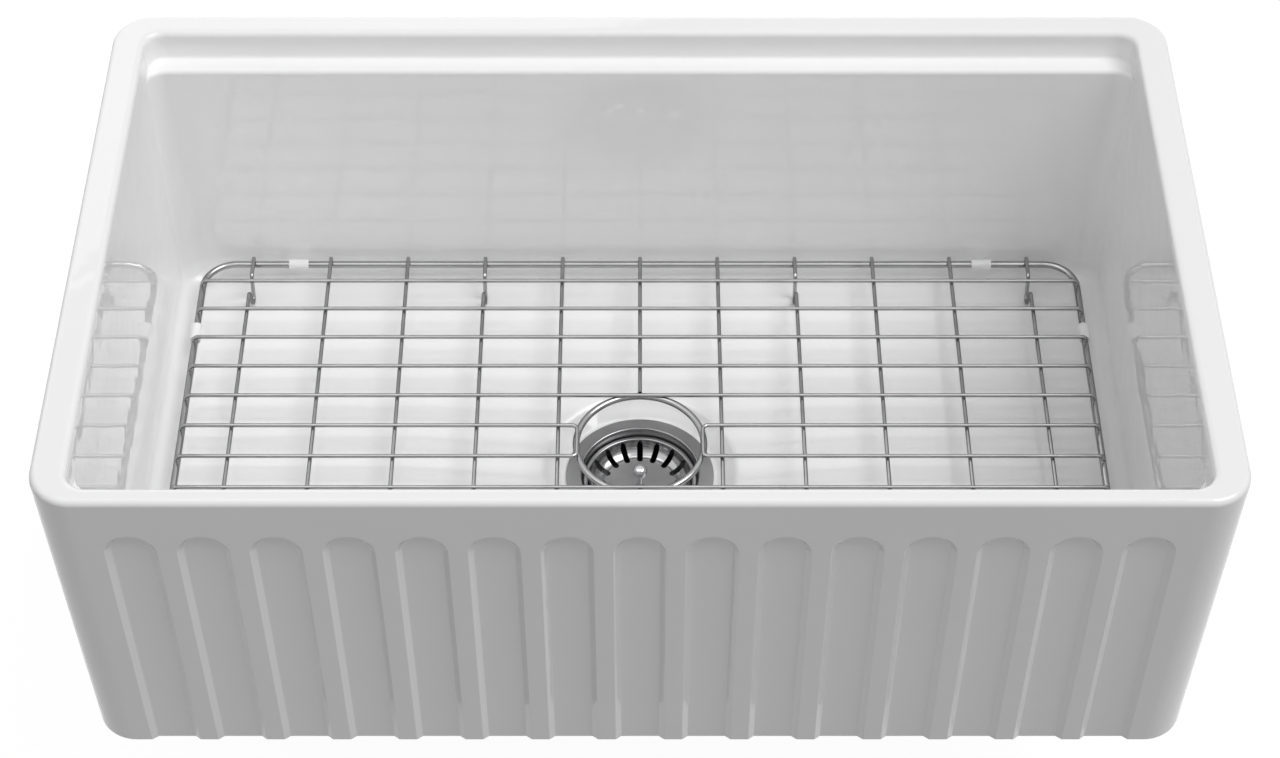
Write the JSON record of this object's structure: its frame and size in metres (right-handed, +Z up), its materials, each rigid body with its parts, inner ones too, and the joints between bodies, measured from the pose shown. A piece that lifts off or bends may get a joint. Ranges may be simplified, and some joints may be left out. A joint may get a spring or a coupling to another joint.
{
  "type": "farmhouse apron front sink",
  "caption": "White glazed kitchen sink with a fluted apron, inner ledges for accessories, a basket strainer drain and a wire bottom grid that lifts out.",
  "frame": {"origin": "centre of the flat underside of the basin, where it rests on the cabinet", "axes": "+X along the width, -Y out of the apron towards the user, +Y to the wall, +Z up; the drain fittings hang below the origin"},
  "size_m": [0.7618, 0.46, 0.42],
  "materials": {
    "glaze": "high gloss white glaze",
    "brushed_strainer": "fine satin",
    "polished_steel": "polished",
    "grid_steel": "electropolished",
    "bumper_rubber": "smooth white",
    "black_rubber": "smooth",
    "sealant": "smooth",
    "fibre": "pressed fibre",
    "white_plastic": "moulded",
    "nut_metal": "cast and plated"
  },
  "bodies": {
    "sink": {"basin": "glaze", "strainer_body": "brushed_strainer", "flange_seal": "sealant", "under_gasket": "black_rubber", "friction_ring": "fibre", "lock_nut": "nut_metal", "tailpiece_washer": "white_plastic", "coupling_nut": "polished_steel", "tailpiece": "polished_steel"},
    "basket": {"basket_shell": "brushed_strainer", "basket_post": "polished_steel", "basket_knob": "polished_steel", "basket_stopper": "black_rubber", "stopper_nut": "polished_steel"},
    "grid": {"bumper_back_left": "bumper_rubber", "bumper_back_right": "bumper_rubber", "bumper_front_left": "bumper_rubber", "bumper_front_right": "bumper_rubber", "bumper_left_side_back": "bumper_rubber", "bumper_left_side_front": "bumper_rubber", "bumper_right_side_back": "bumper_rubber", "bumper_right_side_front": "bumper_rubber", "cross_rod_01": "grid_steel", "cross_rod_02": "grid_steel", "cross_rod_03": "grid_steel", "cross_rod_04": "grid_steel", "cross_rod_05": "grid_steel", "cross_rod_08": "grid_steel", "cross_rod_09": "grid_steel", "cross_rod_10": "grid_steel", "cross_rod_11": "grid_steel", "cross_rod_12": "grid_steel", "drain_ring": "grid_steel", "grid_frame": "grid_steel", "hairpin_rod_left": "grid_steel", "hairpin_rod_right": "grid_steel", "long_rod_01": "grid_steel", "long_rod_02": "grid_steel", "long_rod_03": "grid_steel", "long_rod_04": "grid_steel", "long_rod_05": "grid_steel", "long_rod_06_back": "grid_steel", "long_rod_06_front": "grid_steel", "long_rod_07": "grid_steel", "long_rod_08": "grid_steel", "long_rod_09": "grid_steel", "long_rod_10": "grid_steel", "long_rod_11": "grid_steel"}
  },
  "joints": [
    {"name": "grid_lift", "type": "slide", "parent": "sink", "child": "grid", "axis": [0, 0, 1], "range_m": [0, 0.26]},
    {"name": "basket_lift", "type": "slide", "parent": "sink", "child": "basket", "axis": [0, 0, 1], "range_m": [0, 0.32]}
  ]
}
